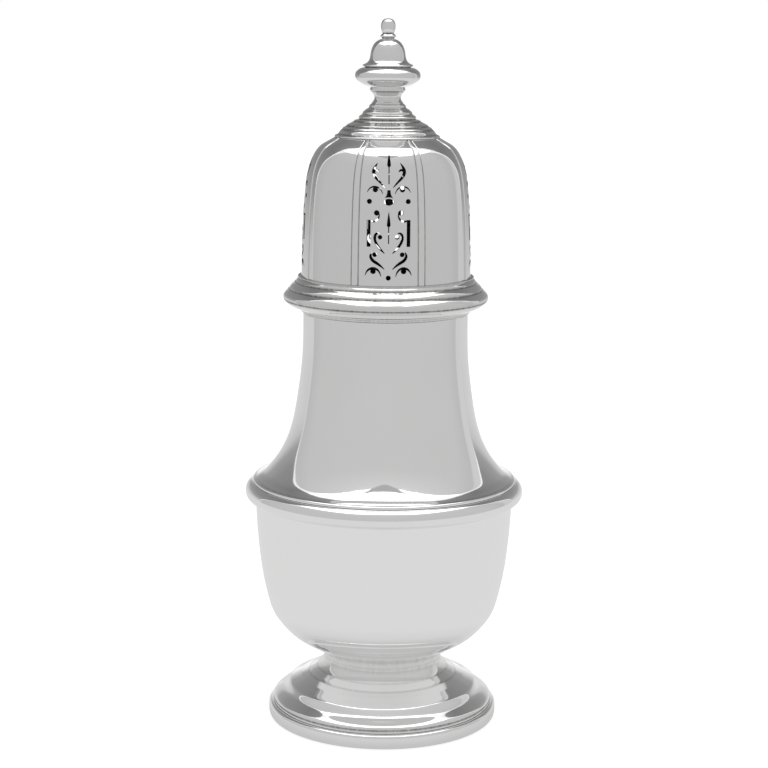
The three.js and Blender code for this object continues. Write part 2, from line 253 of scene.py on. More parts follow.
# How many degrees each side of a card is cut back by, at each height.
FRONT_EDGES = {
    0: 0, 0.1: 0, 0.2: 2.5, 0.3: 4.5, 0.36: 6.5, 0.43: 9.5, 0.5: 12, 0.6: 15, 0.68: 19, 0.74: 25, 0.8: 37,
    0.86: 57, 0.9: 75, 0.93: 95,
}
BACK_EDGES = {
    0: 0, 0.1: 0, 0.2: -1, 0.3: -3, 0.36: -4.5, 0.43: -7, 0.5: -8, 0.6: -5, 0.68: 2, 0.8: 18, 1.4: 32,
}
FRONT_TOP = max(FRONT_EDGES)
BACK_TOP = max(BACK_EDGES)
FLAP_BASE = 0.8
FLAP_TOP = 1.02
FLAP_HALF = 1.5
FLAP_SPREAD = 38
FLAP_LEAN = 3
FLAP_NEARNESS = 0.97

# Grey levels of the studio, as (azimuth, level) across a card or (share of its height, level) up it.
FRONT_ACROSS = [
    (FRONT_LEFT, 0.68), (-116, 0.66), (-114, 0.52), (-95, 0.57), (0, 0.59), (92, 0.58), (111, 0.53),
    (113, 0.64), (FRONT_RIGHT, 0.65),
]
FRONT_UP = [(0, 0.84), (0.5, 0.86), (1, 1.0)]
FRONT_STRENGTH = 1.18
WING_UP = [(0, 0.73), (0.065, 0.57), (0.1, 0.36), (0.17, 0.28), (0.35, 0.21), (0.6, 0.3), (1, 0.8)]
GAP_UP = [(0, 1.0), (0.075, 1.0), (0.1, 0.8), (0.14, 0.4), (0.19, 0.26), (0.5, 0.23), (1, 0.8)]
GAP_ACROSS = [(-180, 1), (-165, 1), (-160, 0), (160, 0), (168, 1), (180, 1)]
FLAP_LEVEL = 0.44
FLOOR_ACROSS = [(-180, 1.0), (-168, 1.0), (-160, 0.74), (160, 0.74), (168, 1.0), (180, 1.0)]
# Painted contact shadow on the floor that reflections see: darker near the foot, from FLOOR_NEAR out to
# FLOOR_FAR from the axis.
FLOOR_NEAR = 0.03
FLOOR_FAR = 0.06
FLOOR_PAINTED_SHADOW = [(0, 0.78), (0.35, 0.93), (1, 1.0)]
FLOOR_GLOW = 0.62
FLOOR_PAINT = 0.62
CARD_COLUMNS = 123
WING_COLUMNS = 59
FLAP_COLUMNS = 21
FLAP_ROWS = 6
SOFTBOX = {"width": 1.9, "depth": 1.4, "height": 1.42, "forward": 0.24, "brightness": 1.25}


def place(node, points):
    """[radius, height above the node's base] points as [radius, height] in the frame, in millimetres."""
    low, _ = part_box(node)
    return np.array(points, float) + [0, low.z / MM]


def smooth(points, step):
    """Natural cubic spline through the points, sampled about every step."""
    points = np.array(points, float)
    along = np.concatenate([[0], np.cumsum(np.linalg.norm(np.diff(points, axis=0), axis=1))])
    gap = np.diff(along)
    count = len(points)
    system = np.zeros((count, count))
    wanted = np.zeros((count, points.shape[1]))
    system[0, 0] = system[-1, -1] = 1
    for i in range(1, count - 1):
        system[i, i - 1 : i + 2] = [gap[i - 1], 2 * (gap[i - 1] + gap[i]), gap[i]]
        wanted[i] = 6 * ((points[i + 1] - points[i]) / gap[i] - (points[i] - points[i - 1]) / gap[i - 1])
    bend = np.linalg.solve(system, wanted)
    made = []
    for s in np.linspace(0, along[-1], max(2, round(along[-1] / step) + 1)):
        i = min(int(np.searchsorted(along, s, side="right")) - 1, count - 2)
        a = (along[i + 1] - s) / gap[i]
        b = (s - along[i]) / gap[i]
        curve = ((a**3 - a) * bend[i] + (b**3 - b) * bend[i + 1]) * gap[i] ** 2 / 6
        made.append(a * points[i] + b * points[i + 1] + curve)
    return np.array(made)


def joined(stretches):
    """Stretches end to end as one line, without repeating the points where they meet."""
    return np.vstack([stretches[0]] + [stretch[1:] for stretch in stretches[1:]])


def creased(node, stretches, step):
    """A node's outline from its stretches, with a crease where two meet."""
    return joined([smooth(place(node, stretch), step) for stretch in stretches])


def between(line, low, high):
    """The part of a rising line from one height to another."""
    ends = [[np.interp(height, line[:, 1], line[:, 0]), height] for height in (low, high)]
    inside = line[(line[:, 1] > low + NEAR_END) & (line[:, 1] < high - NEAR_END)]
    return np.vstack([ends[0], inside, ends[1]])


def outward(line):
    """Unit normals of a rising line, pointing away from the axis."""
    along = np.gradient(line, axis=0)
    along /= np.linalg.norm(along, axis=1)[:, None]
    return np.stack([along[:, 1], -along[:, 0]], axis=1)


def inner_face(outer, wall):
    """Line one wall thickness inside the outer line, without the loops that an offset makes at creases."""
    offset = outer - outward(outer) * wall
    offset[:, 0] = np.maximum(offset[:, 0], 0)
    reach = np.linalg.norm(offset[:, None] - outer[None], axis=2).min(axis=1)
    return offset[reach > OFFSET_KEPT * wall]


def lip(outer_end, inner_end):
    """Half-round edge from the outer face to the inner face of a free rim, rising."""
    middle = (outer_end + inner_end) / 2
    half = (outer_end - inner_end) / 2
    up = np.array([0, 1.0])
    turns = np.linspace(0, math.pi, LIP_POINTS + 2)[1:-1]
    return np.array([middle + half * math.cos(t) + up * np.linalg.norm(half) * math.sin(t) for t in turns])


def groove_depth(section, closed):
    """How deep in a hollow each point of a section lies, from 0 to 1."""
    before = np.roll(section, 1, axis=0)
    after = np.roll(section, -1, axis=0)
    if not closed:
        before[0], after[-1] = section[0], section[-1]
    one, two = section - before, after - section
    turn = np.arctan2(one[:, 0] * two[:, 1] - one[:, 1] * two[:, 0], (one * two).sum(axis=1))
    hollow = np.clip(-turn / HOLLOW_TURN, 0, 1)
    gap = np.linalg.norm(section[:, None] - section[None], axis=2)
    return np.max(hollow[None] * np.exp(-((gap / HOLLOW_REACH) ** 2)), axis=1)


def mesh_object(name, points, faces, groove, inside, body):
    """A piece from points in millimetres. groove is per point, inside per face."""
    mesh = bpy.data.meshes.new(name)
    mesh.from_pydata([tuple(p) for p in np.array(points) * MM], [], [tuple(map(int, f)) for f in faces])
    mesh.attributes.new("groove", "FLOAT", "POINT").data.foreach_set("value", np.array(groove, np.float32))
    mesh.polygons.foreach_set("use_smooth", [True] * len(faces))
    mesh.polygons.foreach_set("material_index", np.array(inside, np.int32))
    mesh.set_sharp_from_angle(angle=math.radians(SHARP_ANGLE))
    mesh.update()
    piece = bpy.data.objects.new(name, mesh)
    bpy.context.scene.collection.objects.link(piece)
    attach(piece, body)
    return piece


def turned(name, outer, inner, body, segments=ROUND):
    """Solid of revolution: its outer line rises and its inner line falls, and both may meet the axis."""
    section = np.vstack([outer, inner])
    closed = section[0, 0] > ON_AXIS or section[-1, 0] > ON_AXIS
    depth = groove_depth(section, closed)
    count = len(section)
    angles = np.arange(segments) * 2 * math.pi / segments
    ring = np.stack([np.sin(angles), -np.cos(angles)], axis=1)
    points, starts, groove = [], [], []
    for (radius, height), deep in zip(section, depth):
        starts.append(len(points))
        around = ring if radius > ON_AXIS else ring[:1]
        points += [(radius * x, radius * y, height) for x, y in around]
        groove += [deep] * len(around)
    faces, inside = [], []
    for i in range(count if closed else count - 1):
        j = (i + 1) % count
        low_pole, high_pole = section[i, 0] <= ON_AXIS, section[j, 0] <= ON_AXIS
        if low_pole and high_pole:
            continue
        for k in range(segments):
            m = (k + 1) % segments
            if low_pole:
                faces.append((starts[i], starts[j] + m, starts[j] + k))
            elif high_pole:
                faces.append((starts[i] + k, starts[i] + m, starts[j]))
            else:
                faces.append((starts[i] + k, starts[i] + m, starts[j] + m, starts[j] + k))
            inside.append(int(i >= len(outer) - 1))
    return mesh_object(name, points, faces, groove, inside, body)


def add_node(tree, kind, inputs=None, **settings):
    """A shader node with its settings, and with its sockets linked or set."""
    made = tree.nodes.new(kind)
    for key, value in settings.items():
        setattr(made, key, value)
    for key, value in (inputs or {}).items():
        if isinstance(value, bpy.types.NodeSocket):
            tree.links.new(value, made.inputs[key])
        else:
            made.inputs[key].default_value = value
    return made


def noise(tree, place_on, scale, detail, stretch=(1, 1, 1)):
    """Noise from 0 to 1 on object coordinates. Scale is in waves a metre."""
    spread = add_node(tree, "ShaderNodeMapping", {"Vector": place_on, "Scale": stretch})
    inputs = {"Vector": spread.outputs["Vector"], "Scale": scale, "Detail": detail}
    return add_node(tree, "ShaderNodeTexNoise", inputs).outputs["Fac"]


def remap(tree, value, low, high, to_low, to_high):
    inputs = {"Value": value, "From Min": low, "From Max": high, "To Min": to_low, "To Max": to_high}
    return add_node(tree, "ShaderNodeMapRange", inputs).outputs["Result"]


def blend_colour(tree, share, first, second):
    mixed = add_node(tree, "ShaderNodeMix", data_type="RGBA")
    for socket, value in ((mixed.inputs[0], share), (mixed.inputs[6], first), (mixed.inputs[7], second)):
        if isinstance(value, bpy.types.NodeSocket):
            tree.links.new(value, socket)
        else:
            socket.default_value = value
    return mixed.outputs[2]


def grey(value, warmth=0.0):
    return (value * (1 + warmth), value, value * (1 - warmth), 1)


def silver(name, shine, tarnish_and_shade_grey, rough, rough_range, ripple):
    """Polished silver: fine turning lines, hairline scratches, soft ripples, and darkened hollows, partly
    tarnished metal and partly painted shade.

    shine is the grey of clean metal, the following argument the grey of the darkened hollows, and ripple is
    in metres.
    """
    material = bpy.data.materials.new(name)
    material.use_nodes = True
    tree = material.node_tree
    shader = tree.nodes["Principled BSDF"]
    shader.inputs["Metallic"].default_value = 1.0
    where = add_node(tree, "ShaderNodeTexCoord").outputs["Object"]
    groove = add_node(tree, "ShaderNodeAttribute", attribute_name="groove").outputs["Fac"]
    clouds = noise(tree, where, CLOUD_SCALE, 4.0)
    lines = noise(tree, where, LINE_SCALE, 2.0, LINE_STRETCH)
    hairs = noise(tree, where, HAIR_SCALE, 2.0, HAIR_STRETCH)
    waves = noise(tree, where, WAVE_SCALE, 1.0)

    film = remap(tree, clouds, 0.35, 0.75, 0.0, FILM_SHARE)
    clean = blend_colour(tree, film, grey(shine), grey(shine * 0.93, 0.012))
    patchy = remap(tree, hairs, 0.3, 0.7, 0.6, 1.0)
    # Painted shade and tarnished metal: the hollows darken, in patches, towards the darker grey.
    tarnish_and_shade_share = add_node(tree, "ShaderNodeMath", {0: groove, 1: patchy}, operation="MULTIPLY")
    colour = blend_colour(tree, tarnish_and_shade_share.outputs[0], clean, grey(tarnish_and_shade_grey, 0.06))
    tree.links.new(colour, shader.inputs["Base Color"])

    smudge = remap(tree, clouds, 0.3, 0.7, rough, rough + rough_range)
    scratches = remap(tree, hairs, 0.58, 0.72, 0.0, HAIR_ROUGHNESS)
    scratched = add_node(tree, "ShaderNodeMath", {0: scratches, 1: smudge}, operation="ADD")
    dulling = {0: groove, 1: HOLLOW_ROUGHNESS, 2: scratched.outputs[0]}
    duller = add_node(tree, "ShaderNodeMath", dulling, operation="MULTIPLY_ADD")
    tree.links.new(duller.outputs[0], shader.inputs["Roughness"])

    rippled = add_node(tree, "ShaderNodeBump", {"Height": waves, "Distance": ripple, "Strength": 1.0})
    after = {"Height": lines, "Distance": LINE_DEPTH, "Strength": 1.0, "Normal": rippled.outputs["Normal"]}
    lined = add_node(tree, "ShaderNodeBump", after)
    tree.links.new(lined.outputs["Normal"], shader.inputs["Normal"])
    return material


def emission(name):
    """Material that only glows, and the node that says how much."""
    material = bpy.data.materials.new(name)
    material.use_nodes = True
    tree = material.node_tree
    tree.nodes.clear()
    glow = add_node(tree, "ShaderNodeEmission")
    output = add_node(tree, "ShaderNodeOutputMaterial", {"Surface": glow.outputs["Emission"]})
    return material, tree, glow, output


def ramp(tree, value, stops):
    """Grey level along stops of (place, level), each place from 0 to 1."""
    made = add_node(tree, "ShaderNodeValToRGB", {"Fac": value})
    made.color_ramp.interpolation = "LINEAR"
    elements = made.color_ramp.elements
    while len(elements) < len(stops):
        elements.new(0.5)
    for element, (position, level) in zip(elements, stops):
        element.position = position
        element.color = (level, level, level, 1)
    return made.outputs["Color"]


SILVER_BODY = silver("body_silver", shine=0.93, tarnish_and_shade_grey=0.22, rough=0.035, rough_range=0.03, ripple=0.00001)
SILVER_COVER = silver(
    "cover_silver", shine=0.85, tarnish_and_shade_grey=0.16, rough=0.035, rough_range=0.03, ripple=0.000008
)
SILVER_CAST = silver("cast_silver", shine=0.9, tarnish_and_shade_grey=0.2, rough=0.045, rough_range=0.03, ripple=0.000006)
SILVER_INSIDE = silver("inside_silver", shine=0.5, tarnish_and_shade_grey=0.2, rough=0.3, rough_range=0.12, ripple=0.00002)
# Dark, dull silver for the inner faces of the cover's dome, straps and cap and the sides of the piercings:
# painted shade where little light reaches.
SILVER_SHADOWED = silver(
    "cover_inside_silver", shine=0.2, tarnish_and_shade_grey=0.1, rough=0.4, rough_range=0.15, ripple=0.00002
)


def finish_piece(piece, outside, inside, node):
    """Materials of a piece's outside and inside, and the CAD node that it stands for."""
    piece.data.materials.append(outside)
    piece.data.materials.append(inside)
    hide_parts(node)


def top_of(node):
    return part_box(node)[1].z / MM


def base_of(node):
    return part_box(node)[0].z / MM


def build_base():
    """Foot, stem and body, as thin sheet with a solid rim and girdle."""
    rim = creased("foot_rim", [RIM_FACE, RIM_SHOULDER], CAST_STEP)
    inside = rim[0, 0] - RIM_WALL
    rim_inside = np.array([[inside, top_of("foot_rim")], [inside, RIM_CHAMFER], [inside + RIM_CHAMFER, 0]])
    piece = turned("foot_rim_ring", rim, rim_inside, "body")
    finish_piece(piece, SILVER_CAST, SILVER_INSIDE, "foot_rim")

    parts = (("foot_dome", FOOT_SWEEP), ("stem_collar", COLLAR_WAIST), ("bowl", BOWL_SIDE))
    sweep = smooth(np.vstack([place(node, points) for node, points in parts]), SWEEP_STEP)
    foot_top = between(sweep, sweep[0, 1], top_of("foot_dome"))
    lower = creased("foot_dome", [FOOT_WIRE, FOOT_SHOULDER, *FOOT_RINGS], CREASED_STEP)
    foot = joined([lower, foot_top])
    piece = turned("foot_spread", foot, inner_face(foot, BODY_WALL)[::-1], "body")
    finish_piece(piece, SILVER_BODY, SILVER_INSIDE, "foot_dome")

    collar = between(sweep, base_of("stem_collar"), top_of("stem_collar"))
    piece = turned("stem_tube", collar, inner_face(collar, BODY_WALL)[::-1], "body")
    finish_piece(piece, SILVER_BODY, SILVER_INSIDE, "stem_collar")

    side = between(sweep, base_of("bowl"), top_of("bowl"))
    hollow = inner_face(side, BODY_WALL)
    floor_height = base_of("bowl") + BODY_WALL
    hollow = hollow[hollow[:, 1] > floor_height + BOWL_CORNER_RISE]
    outer = np.vstack([[0, base_of("bowl")], side])
    inner = np.vstack([hollow[::-1], [[hollow[0, 0] - BOWL_CORNER, floor_height], [0, floor_height]]])
    piece = turned("bowl_sheet", outer, inner, "body")
    finish_piece(piece, SILVER_BODY, SILVER_INSIDE, "bowl")

    roll = creased("girdle", [GIRDLE_ROLL], CAST_STEP)
    inside_radius = roll[0, 0] - BODY_WALL
    inner = np.array([[inside_radius, roll[-1, 1]], [inside_radius, roll[0, 1]]])
    piece = turned("girdle_moulding", roll, inner, "body")
    finish_piece(piece, SILVER_CAST, SILVER_INSIDE, "girdle")

    edge = smooth(place("neck", NECK_EDGE), CREASED_STEP)
    flare = joined([edge, smooth(place("neck", NECK_SIDE), SWEEP_STEP)])
    rim_half = BODY_WALL / 2
    flare = between(flare, flare[0, 1], top_of("neck") - rim_half)
    hollow = inner_face(flare, BODY_WALL)
    outer = np.vstack([flare, lip(flare[-1], hollow[-1])])
    piece = turned("neck_sheet", outer, hollow[::-1], "body")
    finish_piece(piece, SILVER_BODY, SILVER_INSIDE, "neck")


def mirrored(outline):
    """The same outline on both sides of the centre line."""
    outline = np.array(outline, float)
    return [outline, (outline * [-1, 1])[::-1]]


def scroll_cut(points):
    """Outline of a tapering saw cut, with its ends closed."""
    line = smooth(points, SAW_STEP)
    along = np.gradient(line[:, :2], axis=0)
    along /= np.linalg.norm(along, axis=1)[:, None]
    across = np.stack([-along[:, 1], along[:, 0]], axis=1) * line[:, 2:]
    return np.vstack([line[:, :2] - across, (line[:, :2] + across)[::-1]])


def dot_cut(across, height, radius):
    turns = np.arange(2 * CUT_STEPS) * math.pi / CUT_STEPS
    return np.stack([across + radius * np.cos(turns), height + radius * np.sin(turns)], axis=1)


def curve_cut(start, control, end):
    """Quadratic curve, without its last point."""
    t = (np.arange(CUT_STEPS) / CUT_STEPS)[:, None]
    return (1 - t) ** 2 * np.array(start) + 2 * t * (1 - t) * np.array(control) + t**2 * np.array(end)


def spear_cut(tip, shoulder, foot):
    """A leaf-shaped head on a thin stem."""
    neck = shoulder - SPEAR_NECK
    side = np.vstack([
        curve_cut((0, tip), (SPEAR_HALF * SPEAR_FULLNESS, (tip + shoulder) / 2), (SPEAR_HALF, shoulder)),
        [[SPEAR_HALF, shoulder], [SPEAR_STEM_HALF, neck], [SPEAR_STEM_HALF, foot]],
    ])
    return np.vstack([side, (side * [-1, 1])[:0:-1]])


def bell_cut():
    """A bell with a hollowed foot."""
    c = BELL_CUT
    waist = c["foot"] + c["sag"]
    right = curve_cut((c["top_half"], c["top"]), (c["top_half"], waist), (c["foot_half"], c["foot"]))
    below = curve_cut((c["foot_half"], c["foot"]), (0, waist), (-c["foot_half"], c["foot"]))
    left = curve_cut((-c["foot_half"], c["foot"]), (-c["top_half"], waist), (-c["top_half"], c["top"]))
    return np.vstack([right, below, left, [[-c["top_half"], c["top"]]]])


def eye_cut():
    """Two arcs that meet in points at the sides."""
    c = EYE_CUT
    left, right = (-c["half"], c["height"]), (c["half"], c["height"])
    return np.vstack([curve_cut(left, (0, c["lower"]), right), curve_cut(right, (0, c["upper"]), left)])


def panel_cuts():
    """Outlines of all the piercings of one panel."""
    cuts = [spear_cut(*heights) for heights in SPEARS]
    cuts += [bell_cut(), eye_cut(), dot_cut(*BOTTOM_DOT)]
    for points in SCROLLS:
        cuts += mirrored(scroll_cut(points))
    for dot in DOTS:
        cuts += mirrored(dot_cut(*dot))
    corners = np.array(BAR)
    edges = []
    for i, count in enumerate((BAR_ACROSS, BAR_UP, BAR_ACROSS, BAR_UP)):
        edges.append(np.linspace(corners[i], corners[(i + 1) % 4], count)[:-1])
    return cuts + mirrored(np.vstack(edges))


def inside_outline(points, outline):
    """Whether each point lies inside a closed outline."""
    x, y = points[:, 0][:, None], points[:, 1][:, None]
    x1, y1 = outline[:, 0], outline[:, 1]
    x2, y2 = np.roll(x1, -1), np.roll(y1, -1)
    crosses = (y1 > y) != (y2 > y)
    rise = np.where(y2 == y1, 1, y2 - y1)
    return (np.sum(crosses & (x < (x2 - x1) * (y - y1) / rise + x1), axis=1) % 2).astype(bool)


class Dome:
    """The dome's surface, by angle round the axis and distance along its side, in millimetres."""

    def __init__(self):
        self.line = smooth(place("cover_dome", DOME_SIDE), FINE_STEP)
        steps = np.linalg.norm(np.diff(self.line, axis=0), axis=1)
        self.along = np.concatenate([[0], np.cumsum(steps)])
        self.normal = outward(self.line)
        self.base = base_of("cover_dome")
        self.length = self.along[-1]

    def at_height(self, height):
        return np.interp(height + self.base, self.line[:, 1], self.along)

    def radius(self, along):
        return np.interp(along, self.along, self.line[:, 0])

    def point(self, angle, along, rise):
        """Point and outward direction at an angle from the front, rise above the surface."""
        radius, height = (np.interp(along, self.along, self.line[:, i]) for i in (0, 1))
        out, up = (np.interp(along, self.along, self.normal[:, i]) for i in (0, 1))
        away = radius + out * rise
        place_at = np.stack([away * np.sin(angle), -away * np.cos(angle), height + up * rise], axis=-1)
        direction = np.stack([out * np.sin(angle), -out * np.cos(angle), up], axis=-1)
        return place_at, direction


def strap_offset(angle, radius):
    """Distance across the surface from the nearest strap's centre line, with its sign."""
    return (angle % PANEL_ANGLE - PANEL_ANGLE / 2) * radius


def chased(offset):
    """Depth of the lines chased beside a strap, and its slope across them."""
    depth = np.zeros_like(offset)
    slope = np.zeros_like(offset)
    for side in (-1, 1):
        away = offset - side * CHASED_LINE
        line = np.exp(-((away / CHASED_WIDTH) ** 2))
        depth += line
        slope += -2 * away / CHASED_WIDTH**2 * line
    return depth, slope * CHASED_DEPTH


def panel_columns(radius):
    """Angles of a panel's columns, closer together at the chased lines beside its straps."""
    half = PANEL_ANGLE / 2
    edge = half - CHASED_LINE / radius
    fine = CHASED_COLUMNS * CHASED_WIDTH / radius
    plain = np.linspace(-edge, edge, PLAIN_COLUMNS + 2)[1:-1]
    return np.concatenate([[-half], fine - edge, plain, edge + fine, [half]])


def grid_faces(rows, columns):
    """Faces of a grid of points that is numbered row by row."""
    return [
        (r * columns + c, r * columns + c + 1, (r + 1) * columns + c + 1, (r + 1) * columns + c)
        for r in range(rows - 1)
        for c in range(columns - 1)
    ]


def pierced_panel(dome, columns, rows):
    """Points [angle, along] and triangles of one panel with its piercings left out."""
    cuts = []
    for cut in panel_cuts():
        along = dome.at_height(cut[:, 1])
        angle = np.arcsin(cut[:, 0] / dome.radius(along))
        cuts.append(np.stack([angle, along], axis=1))
    mean_radius = dome.radius(dome.length / 2)
    flat = np.array([mean_radius, 1.0])
    grid = np.array([(a, s) for s in rows for a in columns])
    edge = (abs(grid[:, 0]) > columns[-1] * EDGE_SHARE) | (grid[:, 1] < rows[1]) | (grid[:, 1] > rows[-2])
    outline_points = np.vstack(cuts)
    reach = np.linalg.norm((grid[:, None] - outline_points[None]) * flat, axis=2).min(axis=1)
    holes = np.any([inside_outline(grid, cut) for cut in cuts], axis=0)
    kept = grid[edge | ((reach > CUT_CLEARANCE) & ~holes)]
    points, constraints = [kept], []
    start = len(kept)
    for cut in cuts:
        order = np.arange(len(cut)) + start
        constraints += [(int(a), int(b)) for a, b in zip(order, np.roll(order, -1))]
        points.append(cut)
        start += len(cut)
    flat_points = np.vstack(points) * flat
    made = delaunay_2d_cdt([Vector(p) for p in flat_points], constraints, [], 0, 1e-5)
    vertices = np.array([tuple(v) for v in made[0]]) / flat
    triangles = np.array([tuple(f) for f in made[2]])
    centres = vertices[triangles].mean(axis=1)
    solid = ~np.any([inside_outline(centres, cut) for cut in cuts], axis=0)
    return vertices, [tuple(t) for t in triangles[solid]]


def welded(patches):
    """Patches of [angle, along] points and faces as one, with the points that they share joined."""
    points, faces, found = [], [], {}
    for vertices, patch_faces in patches:
        index = []
        for angle, along in vertices:
            turn = round(angle % (2 * math.pi) * WELDS_PER_RADIAN) % round(2 * math.pi * WELDS_PER_RADIAN)
            key = (turn, round(along * WELDS_PER_MM))
            if key not in found:
                found[key] = len(points)
                points.append((angle, along))
            index.append(found[key])
        faces += [tuple(index[i] for i in face) for face in patch_faces]
    return np.array(points), faces


def edge_loop_walls(faces, shift):
    """Faces that join the free edges of a skin to the same edges of its copy, shift points on."""
    used = {(a, b) for face in faces for a, b in zip(face, face[1:] + face[:1])}
    return [(b, a, a + shift, b + shift) for a, b in used if (b, a) not in used]


def build_dome():
    """Domed top with every second panel pierced and a chased line along both edges of each strap."""
    dome = Dome()
    rows = np.concatenate([np.arange(0, dome.length - LAST_ROW, ROW_STEP), [dome.length]])
    columns = panel_columns(dome.radius(0))
    plain = (np.array([(a, s) for s in rows for a in columns]), grid_faces(len(rows), len(columns)))
    pierced = pierced_panel(dome, columns, rows)
    patches = []
    for panel in range(PANELS):
        vertices, faces = plain if panel % 2 else pierced
        patches.append((vertices + [panel * PANEL_ANGLE, 0], faces))
    skin, faces = welded(patches)
    angle, along = skin.T
    offset = strap_offset(angle, dome.radius(0))
    depth, slope = chased(offset)
    outside, direction = dome.point(angle, along, -depth * CHASED_DEPTH)
    inside, _ = dome.point(angle, along, -COVER_WALL)
    sideways = np.stack([np.cos(angle), np.sin(angle), np.zeros_like(angle)], axis=1)
    normal = direction + slope[:, None] * sideways
    normal /= np.linalg.norm(normal, axis=1)[:, None]
    count = len(skin)
    walls = edge_loop_walls(faces, count)
    backs = [tuple(i + count for i in reversed(face)) for face in faces]
    kinds = [0] * len(faces) + [1] * (len(backs) + len(walls))
    # The chased lines beside the straps are darkened: tarnished metal and painted shade.
    groove = np.concatenate([depth * CHASED_TARNISH_AND_SHADE, np.zeros(count)])
    points = np.vstack([outside, inside])
    every_face = faces + backs + walls
    piece = mesh_object("pierced_dome", points, every_face, groove, kinds, "cover")
    set_normals(piece.data, len(faces), len(backs), np.vstack([normal, -direction]))
    finish_piece(piece, SILVER_COVER, SILVER_SHADOWED, "cover_dome")
    return dome


def set_normals(mesh, fronts, backs, normals):
    """True surface normals on both skins; the sides of the piercings keep their own."""
    wanted = np.zeros((len(mesh.loops), 3))
    for polygon in mesh.polygons[: fronts + backs]:
        for loop in polygon.loop_indices:
            wanted[loop] = normals[mesh.loops[loop].vertex_index]
    mesh.normals_split_custom_set([tuple(n) for n in wanted])


def build_straps(dome):
    """Low straps with rounded edges, between the panels."""
    across = np.linspace(-1, 1, STRAP_COLUMNS)
    rise = STRAP_RISE * (1 - abs(across) ** STRAP_SQUARENESS) ** 0.5
    rows = np.linspace(STRAP_END, dome.length - STRAP_END, STRAP_ROWS)
    for index in range(PANELS):
        centre = (index + 0.5) * PANEL_ANGLE
        points = []
        for shape, lift in ((rise, STRAP_LIFT), (rise * 0, -STRAP_SINK)):
            for along in rows:
                angle = centre + across * STRAP_HALF / dome.radius(0)
                points.append(dome.point(angle, np.full(STRAP_COLUMNS, along), shape + lift)[0])
        points = np.vstack(points)
        faces = grid_faces(STRAP_ROWS, STRAP_COLUMNS)
        count = STRAP_ROWS * STRAP_COLUMNS
        faces += [tuple(i + count for i in reversed(face)) for face in faces] + edge_loop_walls(faces, count)
        name = f"strap_{index + 1}"
        groove = np.zeros(len(points))
        piece = mesh_object(name, points, faces, groove, [0] * len(faces), "cover")
        finish_piece(piece, SILVER_COVER, SILVER_SHADOWED, f"cover_strap_{index + 1}")


def build_cover():
    """Bezel, flange, dome, straps, cap and finial."""
    side = creased("cover_bezel", BEZEL_STRETCHES, SLEEVE_STEP)
    piece = turned("bezel_sleeve", side, inner_face(side, COVER_WALL)[::-1], "cover")
    finish_piece(piece, SILVER_COVER, SILVER_INSIDE, "cover_bezel")

    flange = creased("cover_flange", FLANGE_STRETCHES, CAST_STEP)
    piece = turned("flange_moulding", flange, place("cover_flange", FLANGE_INSIDE), "cover")
    finish_piece(piece, SILVER_COVER, SILVER_INSIDE, "cover_flange")

    build_straps(build_dome())

    cap = creased("cover_cap", CAP_STRETCHES, FINE_STEP)
    hollow = smooth(place("cover_cap", CAP_INSIDE), INSIDE_STEP)
    piece = turned("cap_steps", cap, hollow[::-1], "cover")
    finish_piece(piece, SILVER_COVER, SILVER_SHADOWED, "cover_cap")

    for name, node, stretches in (
        ("stem_turning", "finial_stem", STEM_STRETCHES),
        ("bun_turning", "finial_bun", [BUN_SIDE]),
        ("bell_turning", "finial_bell", BELL_STRETCHES),
        ("button_turning", "finial_button", BUTTON_STRETCHES),
    ):
        side = creased(node, stretches, FINE_STEP)
        side[:, 0] = np.maximum(side[:, 0], 0)
        outer = np.vstack([[0, side[0, 1]], side])
        inner = np.array([[0, side[-1, 1]]]) if side[-1, 0] > ON_AXIS else np.zeros((0, 2))
        piece = turned(name, outer, inner, "cover", FINIAL_ROUND)
        finish_piece(piece, SILVER_COVER, SILVER_INSIDE, node)


def tent_patch(name, azimuths, heights, material, nearness=1.0):
    """Part of an upright cylinder round the object that only reflections see.

    azimuths says the azimuths of its columns at a height.
    """
    turn = math.radians(CAMERA_TURN)
    points = []
    for height in heights:
        for azimuth in azimuths(height):
            angle = math.radians(azimuth) + turn
            radius = TENT_RADIUS * nearness
            points.append((radius * math.sin(angle), -radius * math.cos(angle), height))
    mesh = bpy.data.meshes.new(name)
    mesh.from_pydata(points, [], grid_faces(len(heights), len(azimuths(heights[0]))))
    mesh.materials.append(material)
    patch = bpy.data.objects.new(name, mesh)
    bpy.context.scene.collection.objects.link(patch)
    patch.visible_camera = False


def studio_azimuth(tree):
    """Azimuth from the camera's side, as 0 to 1 for -180 to 180 degrees, and the height in metres."""
    where = add_node(tree, "ShaderNodeTexCoord").outputs["Object"]
    axes = add_node(tree, "ShaderNodeSeparateXYZ", {"Vector": where})
    back = add_node(tree, "ShaderNodeMath", {0: axes.outputs["Y"], 1: -1.0}, operation="MULTIPLY").outputs[0]
    turn = add_node(tree, "ShaderNodeMath", {0: axes.outputs["X"], 1: back}, operation="ARCTAN2").outputs[0]
    offset = math.radians(CAMERA_TURN)
    share = remap(tree, turn, -math.pi + offset, math.pi + offset, 0, 1)
    return share, axes.outputs["Z"]


def azimuth_stops(stops):
    return [((azimuth + 180) / 360, level) for azimuth, level in stops]


